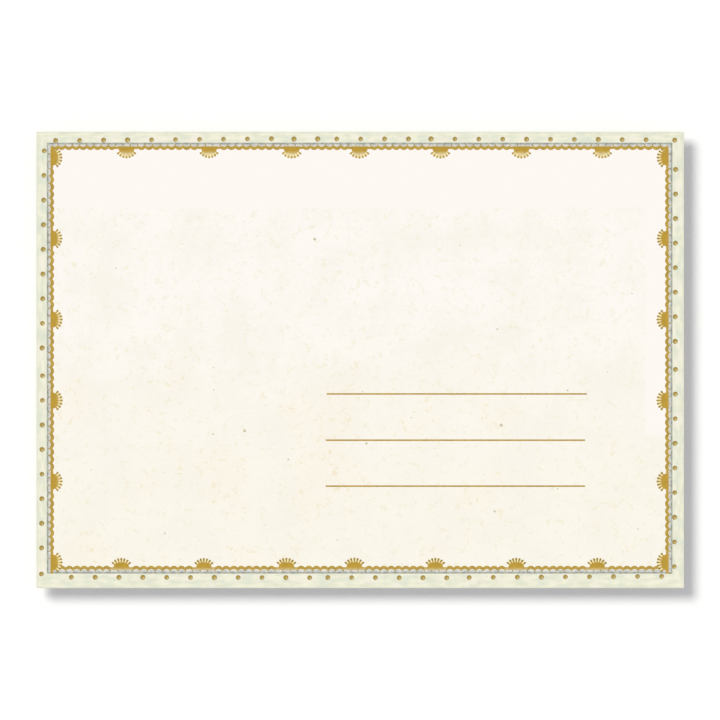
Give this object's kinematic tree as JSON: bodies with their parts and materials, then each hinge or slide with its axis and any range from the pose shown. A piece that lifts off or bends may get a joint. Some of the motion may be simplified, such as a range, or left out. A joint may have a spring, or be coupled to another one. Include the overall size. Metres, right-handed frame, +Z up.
{
  "type": "advent calendar card",
  "caption": "Stiff laminated postcard with a printed address side and a calendar side of numbered die-cut doors that fold out over small pictures.",
  "frame": {"origin": "centre of the address side's face", "axes": "+X across the card, to the right as the address side is read; +Z up the card; +Y through the card, from the address side to the calendar side"},
  "size_m": [0.21, 0.0013, 0.148],
  "materials": {
    "address_board": "uncoated cream board, printed with a pale green and gold border",
    "picture_paper": "smooth printed paper",
    "door_board": "uncoated board, printed on its outer side",
    "glue": "dried film of glue"
  },
  "bodies": {
    "card": {"address_sheet": "address_board", "back_glue": "glue", "picture_sheet": "picture_paper", "door_glue": "glue", "door_sheet": "door_board"},
    "door_01": {"door_01": "door_board"},
    "door_02": {"door_02": "door_board"},
    "door_03": {"door_03": "door_board"},
    "door_04": {"door_04": "door_board"},
    "door_05": {"door_05": "door_board"},
    "door_06": {"door_06": "door_board"},
    "door_07": {"door_07": "door_board"},
    "door_08": {"door_08": "door_board"},
    "door_09": {"door_09": "door_board"},
    "door_10": {"door_10": "door_board"},
    "door_11": {"door_11": "door_board"},
    "door_12": {"door_12": "door_board"},
    "door_13": {"door_13": "door_board"},
    "door_14": {"door_14": "door_board"},
    "door_15": {"door_15": "door_board"},
    "door_16": {"door_16": "door_board"},
    "door_17": {"door_17": "door_board"},
    "door_18": {"door_18": "door_board"},
    "door_19": {"door_19": "door_board"},
    "door_20": {"door_20": "door_board"},
    "door_21": {"door_21": "door_board"},
    "door_22": {"door_22": "door_board"},
    "door_23": {"door_23": "door_board"},
    "door_24_left": {"door_24_left": "door_board"},
    "door_24_right": {"door_24_right": "door_board"}
  },
  "joints": [
    {"name": "door_01_fold", "type": "hinge", "parent": "card", "child": "door_01", "pos_m": [-0.093, 0.0011, 0.053], "axis": [0, 0, 1], "range_deg": [0, 165]},
    {"name": "door_02_fold", "type": "hinge", "parent": "card", "child": "door_02", "pos_m": [-0.093, 0.0011, 0.0265], "axis": [0, 0, 1], "range_deg": [0, 165]},
    {"name": "door_03_fold", "type": "hinge", "parent": "card", "child": "door_03", "pos_m": [-0.093, 0.0011, 0], "axis": [0, 0, 1], "range_deg": [0, 165]},
    {"name": "door_04_fold", "type": "hinge", "parent": "card", "child": "door_04", "pos_m": [0.093, 0.0011, -0.053], "axis": [0, 0, -1], "range_deg": [0, 165]},
    {"name": "door_05_fold", "type": "hinge", "parent": "card", "child": "door_05", "pos_m": [0.093, 0.0011, 0.053], "axis": [0, 0, -1], "range_deg": [0, 165]},
    {"name": "door_06_fold", "type": "hinge", "parent": "card", "child": "door_06", "pos_m": [0.093, 0.0011, 0.0265], "axis": [0, 0, -1], "range_deg": [0, 165]},
    {"name": "door_07_fold", "type": "hinge", "parent": "card", "child": "door_07", "pos_m": [0.093, 0.0011, 0], "axis": [0, 0, -1], "range_deg": [0, 165]},
    {"name": "door_08_fold", "type": "hinge", "parent": "card", "child": "door_08", "pos_m": [0.093, 0.0011, -0.0265], "axis": [0, 0, -1], "range_deg": [0, 165]},
    {"name": "door_09_fold", "type": "hinge", "parent": "card", "child": "door_09", "pos_m": [0.0515, 0.0011, -0.053], "axis": [0, 0, -1], "range_deg": [0, 165]},
    {"name": "door_10_fold", "type": "hinge", "parent": "card", "child": "door_10", "pos_m": [0.0515, 0.0011, 0.053], "axis": [0, 0, -1], "range_deg": [0, 165]},
    {"name": "door_11_fold", "type": "hinge", "parent": "card", "child": "door_11", "pos_m": [0.0515, 0.0011, 0.0265], "axis": [0, 0, -1], "range_deg": [0, 165]},
    {"name": "door_12_fold", "type": "hinge", "parent": "card", "child": "door_12", "pos_m": [0.0515, 0.0011, 0], "axis": [0, 0, -1], "range_deg": [0, 165]},
    {"name": "door_13_fold", "type": "hinge", "parent": "card", "child": "door_13", "pos_m": [0.0515, 0.0011, -0.0265], "axis": [0, 0, -1], "range_deg": [0, 165]},
    {"name": "door_14_fold", "type": "hinge", "parent": "card", "child": "door_14", "pos_m": [-0.0515, 0.0011, -0.053], "axis": [0, 0, 1], "range_deg": [0, 165]},
    {"name": "door_15_fold", "type": "hinge", "parent": "card", "child": "door_15", "pos_m": [0.01, 0.0011, 0.053], "axis": [0, 0, -1], "range_deg": [0, 165]},
    {"name": "door_16_fold", "type": "hinge", "parent": "card", "child": "door_16", "pos_m": [0.01, 0.0011, 0.0265], "axis": [0, 0, -1], "range_deg": [0, 165]},
    {"name": "door_17_fold", "type": "hinge", "parent": "card", "child": "door_17", "pos_m": [0.01, 0.0011, 0], "axis": [0, 0, -1], "range_deg": [0, 165]},
    {"name": "door_18_fold", "type": "hinge", "parent": "card", "child": "door_18", "pos_m": [-0.0515, 0.0011, -0.0265], "axis": [0, 0, 1], "range_deg": [0, 165]},
    {"name": "door_19_fold", "type": "hinge", "parent": "card", "child": "door_19", "pos_m": [-0.093, 0.0011, -0.053], "axis": [0, 0, 1], "range_deg": [0, 165]},
    {"name": "door_20_fold", "type": "hinge", "parent": "card", "child": "door_20", "pos_m": [-0.0515, 0.0011, 0.053], "axis": [0, 0, 1], "range_deg": [0, 165]},
    {"name": "door_21_fold", "type": "hinge", "parent": "card", "child": "door_21", "pos_m": [-0.0515, 0.0011, 0.0265], "axis": [0, 0, 1], "range_deg": [0, 165]},
    {"name": "door_22_fold", "type": "hinge", "parent": "card", "child": "door_22", "pos_m": [-0.0515, 0.0011, 0], "axis": [0, 0, 1], "range_deg": [0, 165]},
    {"name": "door_23_fold", "type": "hinge", "parent": "card", "child": "door_23", "pos_m": [-0.093, 0.0011, -0.0265], "axis": [0, 0, 1], "range_deg": [0, 165]},
    {"name": "door_24_left_fold", "type": "hinge", "parent": "card", "child": "door_24_left", "pos_m": [0.013, 0.0011, -0.04625], "axis": [0, 0, -1], "range_deg": [0, 165]},
    {"name": "door_24_right_fold", "type": "hinge", "parent": "card", "child": "door_24_right", "pos_m": [-0.013, 0.0011, -0.04625], "axis": [0, 0, 1], "range_deg": [0, 165]}
  ]
}
